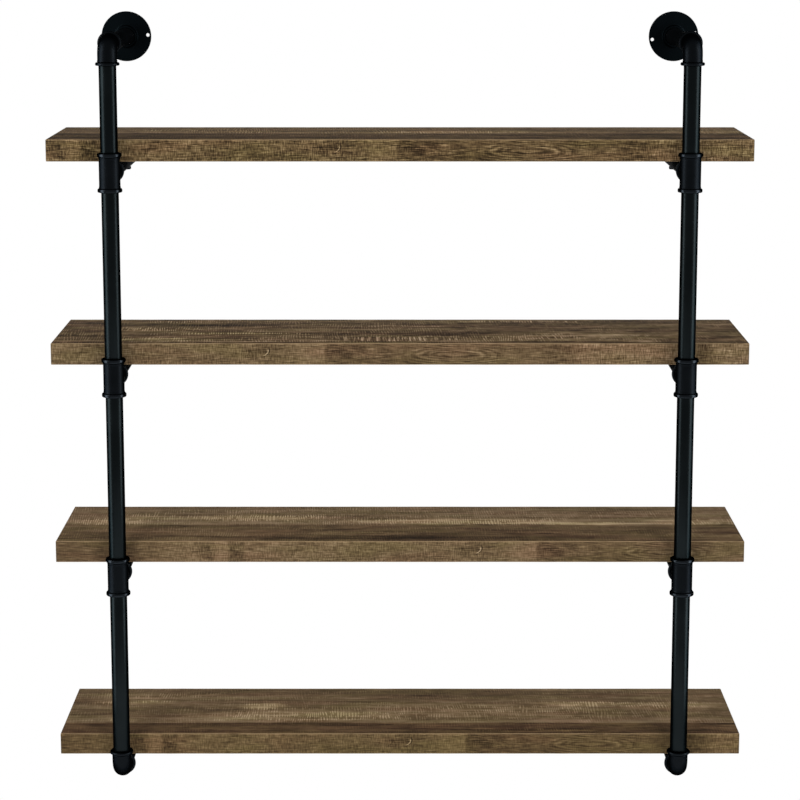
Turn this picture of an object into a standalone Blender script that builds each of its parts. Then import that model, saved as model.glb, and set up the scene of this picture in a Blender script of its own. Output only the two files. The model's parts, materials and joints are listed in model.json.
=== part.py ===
"""Wall shelf: four thick boards carried on two pipe frames that stand in front of them.

Units are metres, +Z is up and +X runs along the boards. The wall is the plane Y = 0 and the shelf
reaches out from it towards -Y. The origin is the middle of the top board's back face. Each frame
is a wall flange, a top arm, an elbow, four upright tubes joined by three tees, and an elbow at the
foot. The tees and the foot elbow each send an arm back to the wall, and a board lies on each pair
of arms, held by two screws driven up through every arm.
"""

import math

import bmesh
import bpy
from mathutils import Matrix, Vector

# Boards
BOARD_COUNT = 4
BOARD_WIDTH = 1.219
BOARD_DEPTH = 0.254
BOARD_THICKNESS = 0.038
BOARD_PITCH = 0.3556
BOARD_EDGE_BREAK = 0.0012

# Clearances
FIT_GAP = 0.0003
CUT_OVERRUN = 0.002

# Tubes
TUBE_DIAMETER = 0.030
TUBE_WALL = 0.0015

# Frames
FRAME_INSET = 0.114
TOP_ARM_RISE = 0.218
BOARD_TO_FITTING_GAP = 0.001

# Sockets, the same in every fitting
SOCKET_DEPTH = 0.014
SOCKET_SHOULDER = 0.0025
BEAD_LENGTH = 0.0052
BEAD_CHAMFER = 0.0011
BEAD_NECK = 0.0030

# Tees
TEE_WALL = 0.0029
TEE_BEAD_RISE = 0.0030
TEE_BRANCH_WALL = 0.0022
TEE_RUN_PAST_BRANCH = 0.016

# Elbows
ELBOW_WALL = 0.0015
ELBOW_BEAD_RISE = 0.0038
ELBOW_THROAT_RADIUS = 0.0027
ELBOW_LEG = 0.0025
ELBOW_BEND_STEPS = 5
ELBOW_PASSAGE_STEPS = 3

# Wall flanges
FLANGE_DIAMETER = 0.090
FLANGE_THICKNESS = 0.0036
FLANGE_EDGE_ROUND = 0.0010
FLANGE_HUB_WALL = 0.00395
FLANGE_HUB_HEIGHT = 0.0150
FLANGE_HUB_FILLET = 0.0035
FLANGE_HOLE_DIAMETER = 0.0071
FLANGE_HOLE_INSET = 0.006
FLANGE_HOLE_COUNT = 2
FLANGE_TURN_DEGREES = {"left": 3.5, "right": 8.5}
ARM_END_TO_WALL = 0.003

# End plugs of the arms
PLUG_HEAD_THICKNESS = 0.0025
PLUG_HEAD_CHAMFER = 0.0007
PLUG_SPIGOT_LENGTH = 0.012

# Screws that hold the boards
FRONT_SCREW_INSET = 0.045
REAR_SCREW_INSET = 0.030
SCREW_SHANK_DIAMETER = 0.006
SCREW_HEAD_DIAMETER = 0.014
SCREW_HEAD_HEIGHT = 0.0055
SCREW_HEAD_CROWN = 0.0018
SCREW_BITE = 0.022
SCREW_POINT_LENGTH = 0.006

# Roundness
TUBE_SIDES = 16
FLANGE_SIDES = 28
SCREW_SIDES = 8
HOLE_SIDES = 12
SMOOTH_ANGLE = math.radians(35)
MERGE_DISTANCE = 1e-6

# Sizes that follow
TUBE_RADIUS = TUBE_DIAMETER / 2
SOCKET_RADIUS = TUBE_RADIUS + FIT_GAP
PASSAGE_RADIUS = TUBE_RADIUS - SOCKET_SHOULDER
TEE_RADIUS = SOCKET_RADIUS + TEE_WALL
TEE_BEAD_RADIUS = TEE_RADIUS + TEE_BEAD_RISE
TEE_BRANCH_RADIUS = SOCKET_RADIUS + TEE_BRANCH_WALL
TEE_HALF_RUN = TEE_BRANCH_RADIUS + TEE_RUN_PAST_BRANCH
ELBOW_RADIUS = SOCKET_RADIUS + ELBOW_WALL
ELBOW_BEAD_RADIUS = ELBOW_RADIUS + ELBOW_BEAD_RISE
ELBOW_BEND_RADIUS = ELBOW_RADIUS + ELBOW_THROAT_RADIUS
FITTING_REACH = ELBOW_BEND_RADIUS + ELBOW_LEG + SOCKET_DEPTH
FLANGE_RADIUS = FLANGE_DIAMETER / 2
FLANGE_HUB_RADIUS = SOCKET_RADIUS + FLANGE_HUB_WALL
SHANK_HOLE_RADIUS = SCREW_SHANK_DIAMETER / 2 + FIT_GAP
FRAME_Y = -(BOARD_DEPTH + BOARD_TO_FITTING_GAP + FITTING_REACH)
FIRST_ARM_Z = -(BOARD_THICKNESS / 2 + FIT_GAP + TUBE_RADIUS)
TOP_ARM_Z = FIRST_ARM_Z + TOP_ARM_RISE
TEE_TUBE_STOP = TEE_HALF_RUN - SOCKET_DEPTH + FIT_GAP
ELBOW_TUBE_STOP = FITTING_REACH - SOCKET_DEPTH + FIT_GAP
FRAME_X = BOARD_WIDTH / 2 - FRAME_INSET
SIDES = {"left": -FRAME_X, "right": FRAME_X}


def clear_scene():
    for obj in list(bpy.data.objects):
        bpy.data.objects.remove(obj, do_unlink=True)


def finish_material(name, colour, roughness, metallic):
    """One Principled finish, shared by the pieces that are made of it."""
    material = bpy.data.materials.new(name)
    material.use_nodes = True
    shader = material.node_tree.nodes["Principled BSDF"]
    shader.inputs["Base Color"].default_value = (*colour, 1.0)
    shader.inputs["Roughness"].default_value = roughness
    shader.inputs["Metallic"].default_value = metallic
    material.diffuse_color = (*colour, 1.0)
    return material


def mesh_from(bm, name, material):
    """Turns a closed bmesh into a mesh with outward faces, smooth on its round sides."""
    bmesh.ops.remove_doubles(bm, verts=bm.verts, dist=MERGE_DISTANCE)
    bmesh.ops.recalc_face_normals(bm, faces=bm.faces)
    mesh = bpy.data.meshes.new(name)
    bm.to_mesh(mesh)
    bm.free()
    mesh.materials.append(material)
    mesh.shade_smooth()
    mesh.set_sharp_from_angle(angle=SMOOTH_ANGLE)
    return mesh


def place(name, mesh, parent, location=(0, 0, 0), rotation=(0, 0, 0)):
    obj = bpy.data.objects.new(name, mesh)
    bpy.context.scene.collection.objects.link(obj)
    obj.parent = parent
    obj.location = location
    obj.rotation_euler = rotation
    return obj


def cutter(name, mesh, location=(0, 0, 0), rotation=(0, 0, 0)):
    """A tool body for a Boolean, which is not part of the shelf."""
    obj = place(name, mesh, None, location, rotation)
    obj.hide_render = True
    obj.display_type = "WIRE"
    return obj


def combined(mesh, steps, material):
    """Joins and cuts a mesh with tool bodies, and gives back the finished mesh."""
    body = place(mesh.name + "_blank", mesh, None)
    for operation, tool in steps:
        modifier = body.modifiers.new(tool.name, "BOOLEAN")
        modifier.operation = operation
        modifier.object = tool
        modifier.solver = "EXACT"
    bpy.context.view_layer.update()
    evaluated = body.evaluated_get(bpy.context.evaluated_depsgraph_get())
    bm = bmesh.new()
    bm.from_mesh(evaluated.to_mesh())
    evaluated.to_mesh_clear()
    for _, tool in steps:
        bpy.data.objects.remove(tool, do_unlink=True)
    bpy.data.objects.remove(body, do_unlink=True)
    for face in bm.faces:
        face.material_index = 0
    return mesh_from(bm, mesh.name.replace("_blank", ""), material)


def lathe(name, profile, material, sides=TUBE_SIDES):
    """Turns a closed outline of (radius, height) points about +Z."""
    bm = bmesh.new()
    points = [bm.verts.new((radius, 0, height)) for radius, height in profile]
    edges = [bm.edges.new((a, b)) for a, b in zip(points, points[1:] + points[:1])]
    bmesh.ops.spin(
        bm,
        geom=points + edges,
        axis=(0, 0, 1),
        cent=(0, 0, 0),
        angle=math.tau,
        steps=sides,
        use_duplicate=False,
    )
    bmesh.ops.remove_doubles(bm, verts=bm.verts, dist=MERGE_DISTANCE)
    bmesh.ops.dissolve_degenerate(bm, edges=bm.edges, dist=MERGE_DISTANCE)
    on_axis = [e for e in bm.edges if all(v.co.xy.length < MERGE_DISTANCE for v in e.verts)]
    bmesh.ops.delete(bm, geom=on_axis, context="EDGES")
    return mesh_from(bm, name, material)


def bar(name, radius, bottom, top, sides):
    """A plain round bar along +Z, used as a tool body."""
    outline = [(0, bottom), (radius, bottom), (radius, top), (0, top)]
    return lathe(name, outline, bpy.data.materials["tube_black"], sides)


def beaded_end(body_radius, bead_radius, reach):
    """Outer outline of a fitting's socket, from its body out to its end, as (radius, distance)."""
    bead_start = reach - BEAD_LENGTH
    return [
        (body_radius, bead_start - BEAD_NECK),
        (bead_radius, bead_start + BEAD_CHAMFER),
        (bead_radius, reach - BEAD_CHAMFER * 2),
        (bead_radius - BEAD_CHAMFER, reach),
    ]


def socket_bore(reach):
    """Inner outline of a fitting's socket, from its mouth in to its shoulder."""
    shoulder = reach - SOCKET_DEPTH
    return [(SOCKET_RADIUS, reach), (SOCKET_RADIUS, shoulder), (PASSAGE_RADIUS, shoulder)]


def tube_mesh(name, length, material):
    inner = TUBE_RADIUS - TUBE_WALL
    outline = [(inner, 0), (TUBE_RADIUS, 0), (TUBE_RADIUS, length), (inner, length)]
    return lathe(name, outline, material)


def arm_mesh(name, length, hole_distances, material):
    """A tube with a pair of holes through both walls at each screw."""
    drills = []
    for index, distance in enumerate(hole_distances):
        reach = TUBE_RADIUS + CUT_OVERRUN
        drill = bar(f"drill_{index}", SHANK_HOLE_RADIUS, -reach, reach, SCREW_SIDES)
        turned = (math.radians(90), 0, 0)
        drills.append(("DIFFERENCE", cutter(f"drill_{index}", drill, (0, 0, distance), turned)))
    return combined(tube_mesh(name + "_blank", length, material), drills, material)


def tee_mesh(material):
    """A beaded tee: its run is upright and its branch points to +Y."""
    end = beaded_end(TEE_RADIUS, TEE_BEAD_RADIUS, TEE_HALF_RUN)
    run = [(0, -TEE_HALF_RUN)] + [(r, -z) for r, z in reversed(end)] + end + [(0, TEE_HALF_RUN)]
    branch = [(0, 0), (TEE_BRANCH_RADIUS, 0)]
    branch += beaded_end(TEE_BRANCH_RADIUS, TEE_BEAD_RADIUS, FITTING_REACH) + [(0, FITTING_REACH)]
    past_run, past_branch = TEE_HALF_RUN + CUT_OVERRUN, FITTING_REACH + CUT_OVERRUN
    run_socket = [(SOCKET_RADIUS, past_run)] + socket_bore(TEE_HALF_RUN)[1:]
    run_core = [(0, past_run)] + run_socket + [(r, -z) for r, z in reversed(run_socket)]
    run_core += [(0, -past_run)]
    branch_core = [(0, past_branch), (SOCKET_RADIUS, past_branch)]
    branch_core += socket_bore(FITTING_REACH)[1:] + [(PASSAGE_RADIUS, 0), (0, 0)]
    to_wall = (math.radians(-90), 0, 0)
    steps = [
        ("UNION", cutter("tee_branch", lathe("tee_branch", branch, material), rotation=to_wall)),
        ("DIFFERENCE", cutter("tee_run_core", lathe("tee_run_core", run_core, material))),
        ("DIFFERENCE", cutter("tee_core", lathe("tee_core", branch_core, material), rotation=to_wall)),
    ]
    return combined(lathe("tee_blank", run, material), steps, material)


def elbow_mesh(material):
    """A beaded right-angle elbow: one socket points down, the other to +Y."""
    leg = [(ELBOW_RADIUS, ELBOW_BEND_RADIUS)]
    leg += beaded_end(ELBOW_RADIUS, ELBOW_BEAD_RADIUS, FITTING_REACH)
    bore = socket_bore(FITTING_REACH)
    outward = [("down", r, d) for r, d in reversed(leg)] + bend_rings(ELBOW_RADIUS, ELBOW_BEND_STEPS)
    outward += [("back", r, d) for r, d in leg]
    inward = [("back", r, d) for r, d in bore] + bend_rings(PASSAGE_RADIUS, ELBOW_PASSAGE_STEPS)[::-1]
    inward += [("down", r, d) for r, d in reversed(bore)]
    bm = bmesh.new()
    rings = [elbow_ring(bm, *ring) for ring in outward + inward]
    for ring, following in zip(rings, rings[1:] + rings[:1]):
        for a in range(TUBE_SIDES):
            b = (a + 1) % TUBE_SIDES
            bm.faces.new((ring[a], ring[b], following[b], following[a]))
    return mesh_from(bm, "elbow", material)


def bend_rings(radius, steps):
    """The rings between the two legs, at even angles round the bend."""
    return [("bend", radius, math.pi / 2 * step / steps) for step in range(1, steps)]


def elbow_ring(bm, place_on, radius, along):
    """A ring of points square to the elbow's centre line."""
    if place_on == "down":
        angle, centre = 0.0, Vector((0, 0, -along))
    elif place_on == "back":
        angle, centre = math.pi / 2, Vector((0, along, 0))
    else:
        bend = ELBOW_BEND_RADIUS
        angle = along
        centre = Vector((0, bend - bend * math.cos(angle), bend * math.sin(angle) - bend))
    matrix = Matrix.Translation(centre) @ Matrix.Rotation(-angle, 4, "X")
    return bmesh.ops.create_circle(bm, segments=TUBE_SIDES, radius=radius, matrix=matrix)["verts"]


def flange_mesh(material):
    """A round flange with its flat back on the wall: +Z of this mesh points into the room."""
    radius, hub = FLANGE_RADIUS, FLANGE_HUB_RADIUS
    edge, fillet = FLANGE_EDGE_ROUND, FLANGE_HUB_FILLET
    quarter = [math.radians(a) for a in (0, 45, 90)]
    blend = [
        (hub + fillet - fillet * math.sin(a), FLANGE_THICKNESS + fillet - fillet * math.cos(a))
        for a in quarter
    ]
    outline = [
        (SOCKET_RADIUS, 0),
        (radius, 0),
        (radius, FLANGE_THICKNESS - edge),
        (radius - edge, FLANGE_THICKNESS),
        *blend,
        (hub, FLANGE_HUB_HEIGHT - edge),
        (hub - edge, FLANGE_HUB_HEIGHT),
        (SOCKET_RADIUS, FLANGE_HUB_HEIGHT),
    ]
    drills = []
    out = FLANGE_RADIUS - FLANGE_HOLE_INSET
    for index in range(FLANGE_HOLE_COUNT):
        angle = math.tau * index / FLANGE_HOLE_COUNT
        spot = (out * math.cos(angle), out * math.sin(angle), 0)
        drill = bar(
            f"flange_drill_{index}",
            FLANGE_HOLE_DIAMETER / 2,
            -CUT_OVERRUN,
            FLANGE_THICKNESS + CUT_OVERRUN,
            HOLE_SIDES,
        )
        drills.append(("DIFFERENCE", cutter(f"flange_drill_{index}", drill, spot)))
    return combined(lathe("wall_flange_blank", outline, material, FLANGE_SIDES), drills, material)


def plug_mesh(material):
    """A push-in bung: its head covers the tube's end and its spigot grips the bore."""
    spigot = TUBE_RADIUS - TUBE_WALL - FIT_GAP
    head, chamfer = PLUG_HEAD_THICKNESS, PLUG_HEAD_CHAMFER
    end = head + PLUG_SPIGOT_LENGTH
    outline = [
        (0, 0),
        (TUBE_RADIUS - chamfer, 0),
        (TUBE_RADIUS, chamfer),
        (TUBE_RADIUS, head),
        (spigot, head),
        (spigot, end),
        (0, end),
    ]
    return lathe("arm_plug", outline, material)


def screw_mesh(material):
    """A pan-head screw that points up: the seat of its head is at zero."""
    shank, head = SCREW_SHANK_DIAMETER / 2, SCREW_HEAD_DIAMETER / 2
    length = TUBE_DIAMETER + FIT_GAP * 2 + SCREW_BITE
    outline = [
        (0, -SCREW_HEAD_HEIGHT),
        (head - SCREW_HEAD_CROWN, -SCREW_HEAD_HEIGHT),
        (head, SCREW_HEAD_CROWN - SCREW_HEAD_HEIGHT),
        (head, 0),
        (shank, 0),
        (shank, length - SCREW_POINT_LENGTH),
        (0, length),
    ]
    return lathe("board_screw", outline, material, SCREW_SIDES)


def board_mesh(hole_spots, material):
    """A board with its arrises broken and a blind hole for each screw, its back face at Y = 0."""
    bm = bmesh.new()
    bmesh.ops.create_cube(bm, size=1)
    bmesh.ops.scale(bm, vec=(BOARD_WIDTH, BOARD_DEPTH, BOARD_THICKNESS), verts=bm.verts)
    bmesh.ops.translate(bm, vec=(0, -BOARD_DEPTH / 2, 0), verts=bm.verts)
    bmesh.ops.bevel(bm, geom=bm.edges, offset=BOARD_EDGE_BREAK, segments=1, affect="EDGES")
    blank = mesh_from(bm, "shelf_board_blank", material)
    drills = []
    for index, (x, y) in enumerate(hole_spots):
        depth = SCREW_BITE + FIT_GAP * 2
        drill = bar(f"board_drill_{index}", SHANK_HOLE_RADIUS, -CUT_OVERRUN, depth, SCREW_SIDES)
        spot = (x, y, -BOARD_THICKNESS / 2)
        drills.append(("DIFFERENCE", cutter(f"board_drill_{index}", drill, spot)))
    return combined(blank, drills, material)


def build():
    clear_scene()
    wood = finish_material("oak_board", (0.17, 0.11, 0.06), 0.62, 0.0)
    tube = finish_material("tube_black", (0.012, 0.014, 0.015), 0.38, 0.6)
    casting = finish_material("fitting_black", (0.010, 0.012, 0.014), 0.42, 0.6)
    plastic = finish_material("plug_black", (0.014, 0.014, 0.014), 0.55, 0.0)
    steel = finish_material("screw_black", (0.016, 0.016, 0.018), 0.40, 0.8)

    shelf = place("wall_shelf", None, None)
    screw_rows = {"front": -(BOARD_DEPTH - FRONT_SCREW_INSET), "rear": -REAR_SCREW_INSET}

    holes = [(x, y) for x in SIDES.values() for y in screw_rows.values()]
    board = board_mesh(holes, wood)
    for level in range(BOARD_COUNT):
        place(f"shelf_board_{level + 1}", board, shelf, (0, 0, -level * BOARD_PITCH))

    tee = tee_mesh(casting)
    elbow = elbow_mesh(casting)
    flange = flange_mesh(casting)
    plug = plug_mesh(plastic)
    screw = screw_mesh(steel)

    arm_start = FRAME_Y + ELBOW_TUBE_STOP
    arm_end = -(PLUG_HEAD_THICKNESS + FIT_GAP)
    arm = arm_mesh("shelf_arm", arm_end - arm_start, [y - arm_start for y in screw_rows.values()], tube)
    top_arm = tube_mesh("top_arm", -ARM_END_TO_WALL - arm_start, tube)
    first_upright = tube_mesh("upright_first", TOP_ARM_RISE - ELBOW_TUBE_STOP - TEE_TUBE_STOP, tube)
    upright = tube_mesh("upright", BOARD_PITCH - 2 * TEE_TUBE_STOP, tube)
    last_upright = tube_mesh("upright_last", BOARD_PITCH - TEE_TUBE_STOP - ELBOW_TUBE_STOP, tube)

    to_wall = (math.radians(-90), 0, 0)
    to_room = (math.radians(90), 0, 0)
    upside_down = (math.radians(180), 0, math.radians(180))
    for side, frame_x in SIDES.items():
        frame = place(f"{side}_frame", None, shelf, (frame_x, 0, 0))
        turn = math.radians(FLANGE_TURN_DEGREES[side])
        place(f"wall_flange_{side}", flange, frame, (0, 0, TOP_ARM_Z), (to_room[0], -turn, 0))
        place(f"top_arm_{side}", top_arm, frame, (0, arm_start, TOP_ARM_Z), to_wall)
        place(f"top_elbow_{side}", elbow, frame, (0, FRAME_Y, TOP_ARM_Z))
        for level in range(BOARD_COUNT):
            arm_z = FIRST_ARM_Z - level * BOARD_PITCH
            last = level == BOARD_COUNT - 1
            number = level + 1
            pipe = first_upright if level == 0 else last_upright if last else upright
            foot = arm_z + (ELBOW_TUBE_STOP if last else TEE_TUBE_STOP)
            place(f"upright_{side}_{number}", pipe, frame, (0, FRAME_Y, foot))
            if last:
                place(f"bottom_elbow_{side}", elbow, frame, (0, FRAME_Y, arm_z), upside_down)
            else:
                place(f"tee_{side}_{number}", tee, frame, (0, FRAME_Y, arm_z))
            place(f"shelf_arm_{side}_{number}", arm, frame, (0, arm_start, arm_z), to_wall)
            place(f"arm_plug_{side}_{number}", plug, frame, (0, 0, arm_z), to_room)
            for row, y in screw_rows.items():
                seat = arm_z - TUBE_RADIUS - FIT_GAP
                place(f"board_screw_{side}_{number}_{row}", screw, frame, (0, y, seat))


build()
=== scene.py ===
"""Looks of the wall shelf: four rustic boards on two black pipe frames, dressed over the frame.

Metres, +Z up. The wall is the plane Y = 0 and the room lies towards -Y. Every piece takes its
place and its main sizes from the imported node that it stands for.
"""

import json
import math

import bmesh
import bpy
from mathutils import Matrix, Vector, noise

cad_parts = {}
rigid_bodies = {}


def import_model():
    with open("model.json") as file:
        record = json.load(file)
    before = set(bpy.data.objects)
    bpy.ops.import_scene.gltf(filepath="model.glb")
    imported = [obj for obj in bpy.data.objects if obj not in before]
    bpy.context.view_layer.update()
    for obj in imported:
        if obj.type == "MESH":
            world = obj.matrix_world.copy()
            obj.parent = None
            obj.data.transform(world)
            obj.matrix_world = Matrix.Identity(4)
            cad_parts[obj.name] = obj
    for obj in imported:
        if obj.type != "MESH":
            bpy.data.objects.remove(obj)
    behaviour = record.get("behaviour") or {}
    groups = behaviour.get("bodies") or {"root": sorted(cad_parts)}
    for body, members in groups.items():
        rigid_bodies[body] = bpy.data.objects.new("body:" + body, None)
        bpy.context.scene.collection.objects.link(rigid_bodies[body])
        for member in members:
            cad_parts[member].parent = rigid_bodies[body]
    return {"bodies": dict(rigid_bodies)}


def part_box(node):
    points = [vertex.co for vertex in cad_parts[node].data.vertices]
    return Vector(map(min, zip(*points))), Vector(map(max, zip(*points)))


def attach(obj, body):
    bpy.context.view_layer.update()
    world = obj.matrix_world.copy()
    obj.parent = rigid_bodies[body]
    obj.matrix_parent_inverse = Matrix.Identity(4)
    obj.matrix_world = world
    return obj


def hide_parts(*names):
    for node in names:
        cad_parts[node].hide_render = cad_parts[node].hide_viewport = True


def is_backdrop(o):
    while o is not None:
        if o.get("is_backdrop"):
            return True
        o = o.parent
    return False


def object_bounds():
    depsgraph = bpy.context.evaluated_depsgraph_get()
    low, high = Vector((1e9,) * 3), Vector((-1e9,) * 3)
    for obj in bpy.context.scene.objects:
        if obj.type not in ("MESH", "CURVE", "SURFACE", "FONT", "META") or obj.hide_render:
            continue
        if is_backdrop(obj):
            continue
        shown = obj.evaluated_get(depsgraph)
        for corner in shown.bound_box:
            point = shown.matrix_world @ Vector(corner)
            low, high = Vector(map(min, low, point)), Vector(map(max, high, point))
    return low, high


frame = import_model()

CAD_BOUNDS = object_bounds()
BODY = next(iter(frame["bodies"]))
SIDES = ("left", "right")
LEVELS = (1, 2, 3, 4)
ROWS = ("front", "rear")

# Camera
CAMERA_SENSOR = 36.0
CAMERA_DISTANCE = 4.30
CAMERA_HEIGHT = 0.379
CAMERA_TILT_DEGREES = 9.85
CAMERA_LENS = 106.05
CAMERA_SHIFT_UP = -0.08

# Studio. Key lights and reflecting cards stand in pairs: their places are those of the right one.
FLOOR_DROP = 0.45
FLOOR_RADIUS = 40.0
FLOOR_SIDES = 96
FLOOR_SHADOW_REACH = (0.45, 0.85)
FLOOR_LIFT = 0.35
FLOOR_COLOUR = (0.93, 0.93, 0.93)
WHITE = (1.0, 1.0, 1.0)
FILL_STRENGTH = 0.50
KEY_POWER = 150.0
KEY_PLACE = (2.0, -4.2, 2.9)
KEY_SIZE = (1.6, 1.6)
CARD_POWER = 60.0
CARD_PLACE = (1.6, -0.60, -0.25)
CARD_SIZE = (0.6, 2.5)
TABLE_POWER = 45.0
TABLE_PLACE = (0, -1.5, -1.5)
TABLE_SIZE = (3.0, 2.4)
TABLE_TARGET = (0, -1.5, 0)

# Tubes and sockets. A mouth's rim and edge are measured in from the outside of its bead.
TUBE_WALL = 0.0015
TUBE_END_EASE = 0.0004
TUBE_END_STEPS = 2
SOCKET_GAP = 0.0003
SOCKET_DEPTH = 0.014
PASSAGE_RADIUS = 0.0125
MOUTH_DEPTH = 0.0026
MOUTH_RIM = 0.0016
MOUTH_EDGE = 0.00208
BEAD_GROOVE = 0.0006
BEAD_GROOVE_EASE = 0.0004
BEAD_FLARE = 0.0040
BEAD_FLARE_EASE = 0.0020
BEAD_ROUND = 0.0022

# Tees and elbows
TEE_LEVELS = LEVELS[:3]
TEE_BEAD_LENGTH = 0.0066
TEE_BODY_RADIUS = 0.0182
TEE_BRANCH_RADIUS = 0.0175
TEE_ROOT_FILLET = 0.006
TEE_POINT_SPACING = 0.0016
FILLET_PASSES = 4
FILLET_LEAST_SLOPE = 0.2
ELBOW_BEAD_LENGTH = 0.0056
ELBOW_BODY_RADIUS = 0.0168
ELBOW_BEND_RADIUS = 0.0195
BEND_STEPS = 14
PASSAGE_BEND_STEPS = 8

# Flanges
FLANGE_THICKNESS = 0.0036
FLANGE_EDGE_EASE = 0.0011
FLANGE_SHARP_EASE = 0.0003
FLANGE_HUB_RADIUS = 0.01925
FLANGE_HUB_EASE = 0.0014
FLANGE_HUB_FILLET = 0.0042
FLANGE_MOUTH_DEPTH = 0.0012
FLANGE_MOUTH_FLARE = 0.00072
FLANGE_BORE_GAP = 0.00005
FLANGE_HOLE_RADIUS = 0.0031
FLANGE_HOLE_CIRCLE = 0.078
FLANGE_SINK = 0.0004
FLANGE_TURN_DEGREES = {"left": 3.5, "right": 8.5}

# Screws and plugs
SHANK_HOLE_RADIUS = 0.0033
SCREW_SHANK_RADIUS = 0.0029
SCREW_CORE_RADIUS = 0.0021
SCREW_HEAD_HEIGHT = 0.0055
SCREW_HEAD_EASE = 0.0024
SCREW_CROWN = 0.0002
SCREW_CROWN_SHARE = 0.55
SCREW_NECK_EASE = 0.0004
SCREW_TURN_DEGREES = 20
SCREW_THREAD_PITCH = 0.0028
SCREW_THREAD_STEPS = 6
SCREW_CREST_SHARE = 0.25
SCREW_THREAD_LENGTH = 0.030
SCREW_POINT_LENGTH = 0.006
SCREW_RECESS_WIDTH = 0.0016
SCREW_RECESS_SPAN = 0.0068
SCREW_RECESS_DEPTH = 0.0026
PLUG_HEAD_THICKNESS = 0.0025
PLUG_HEAD_EASE = 0.0009
PLUG_FIN_DEPTH = 0.0010
PLUG_FIN_COUNT = 4
PLUG_FIN_SHARES = (0.3, 0.45, 0.6, 0.95)

# Boards
BOARD_ARRIS = 0.0013
BOARD_ARRIS_WANDER = 0.0007
ARRIS_SHORT_WAVES = 40
ARRIS_LONG_WAVES = 9
ARRIS_LEAST_WANDER = -0.8
ARRIS_WEAR = (0.0018, 0.0006)
BOARD_STATIONS = 240
BOARD_SCREW_SOCKET = 0.0226

# Roundness and tolerances
ROUND_SIDES = 48
FLANGE_SIDES = 96
HOLE_SIDES = 24
SCREW_SIDES = 20
CORNER_STEPS = 4
FLANGE_CORNER_STEPS = 6
FINE_EASE = 0.0002
OVERRUN = 0.002
SMOOTH_ANGLE = math.radians(32)
EASE_SHARE = 0.49
TINY = 1e-6

# Turns of a piece that is made along +Z
NO_TURN = (0, 0, 0)
UPSIDE_DOWN = (0, math.pi, 0)
TO_WALL = (math.radians(-90), 0, 0)
TO_ROOM = (math.radians(90), 0, 0)


def span(node):
    low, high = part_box(node)
    return high - low


def middle(node):
    low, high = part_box(node)
    return (low + high) / 2


def wall_side(node):
    """The middle of the side that a node turns to the wall."""
    spot = middle(node)
    spot.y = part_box(node)[1].y
    return spot


TUBE_RADIUS = span("upright_left_2").x / 2
SOCKET_RADIUS = TUBE_RADIUS + SOCKET_GAP


class Layer:
    """A socket of numbers in a finish. Sums on it add the Math nodes."""

    def __init__(self, finish, socket):
        self.finish = finish
        self.socket = socket

    def maths(self, operation, *terms):
        return self.finish.node("ShaderNodeMath", {"operation": operation}, dict(enumerate(terms)))

    def __add__(self, other):
        return self.maths("ADD", self, other)

    __radd__ = __add__

    def __sub__(self, other):
        return self.maths("SUBTRACT", self, other)

    def __rsub__(self, other):
        return self.maths("SUBTRACT", other, self)

    def __mul__(self, other):
        return self.maths("MULTIPLY", self, other)

    __rmul__ = __mul__

    def __truediv__(self, other):
        return self.maths("DIVIDE", self, other)

    def __pow__(self, other):
        return self.maths("POWER", self, other)

    def __abs__(self):
        return self.maths("ABSOLUTE", self)


class Finish:
    """A procedural material in the making: its nodes, and the shader that they feed."""

    def __init__(self, name, roughness=0.5, metallic=0.0, ior=1.45):
        self.material = bpy.data.materials.new(name)
        self.material.use_nodes = True
        self.tree = self.material.node_tree
        self.shader = self.tree.nodes["Principled BSDF"]
        self.shader.inputs["Roughness"].default_value = roughness
        self.shader.inputs["Metallic"].default_value = metallic
        self.shader.inputs["IOR"].default_value = ior

    def node(self, kind, settings=None, values=None, output=0):
        """Adds a node: its settings first, then what its sockets hold or are fed by."""
        made = self.tree.nodes.new(kind)
        for key, setting in (settings or {}).items():
            if key == "stops":
                self.set_stops(made.color_ramp, setting)
            else:
                setattr(made, key, setting)
        for key, value in (values or {}).items():
            self.feed(made.inputs[key], value)
        return Layer(self, made.outputs[output])

    def feed(self, socket, value):
        if isinstance(value, Layer):
            self.tree.links.new(value.socket, socket)
        elif socket.type == "RGBA" and len(value) == 3:
            socket.default_value = (*value, 1.0)
        else:
            socket.default_value = value

    def set_stops(self, ramp, stops):
        while len(ramp.elements) < len(stops):
            ramp.elements.new(1.0)
        for element, (position, colour) in zip(ramp.elements, stops):
            element.position = position
            element.color = (*colour, 1.0)

    def parts(self, vector):
        """The X, Y and Z of a vector, as three layers."""
        return [self.node("ShaderNodeSeparateXYZ", None, {0: vector}, axis) for axis in range(3)]

    def point(self, x, y, z=0.0):
        return self.node("ShaderNodeCombineXYZ", None, {0: x, 1: y, 2: z})

    def cloud(self, where, scale=1.0, detail=3.0, roughness=0.55):
        """Noise, between 0 and 1 and mostly near a half."""
        values = {"Vector": where, "Scale": scale, "Detail": detail, "Roughness": roughness}
        return self.node("ShaderNodeTexNoise", None, values)

    def band(self, value, start, end, low=0.0, high=1.0):
        """Goes smoothly from low to high while the value goes from start to end."""
        values = {0: value, 1: start, 2: end, 3: low, 4: high}
        return self.node("ShaderNodeMapRange", {"interpolation_type": "SMOOTHSTEP"}, values)

    def blend(self, amount, under, over, how="MIX"):
        """Lays one colour over another."""
        settings = {"data_type": "RGBA", "blend_type": how}
        return self.node("ShaderNodeMix", settings, {0: amount, 6: under, 7: over}, 2)

    def bump(self, height, strength, distance):
        values = {"Height": height, "Strength": strength, "Distance": distance}
        self.feed(self.shader.inputs["Normal"], self.node("ShaderNodeBump", None, values))


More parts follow.
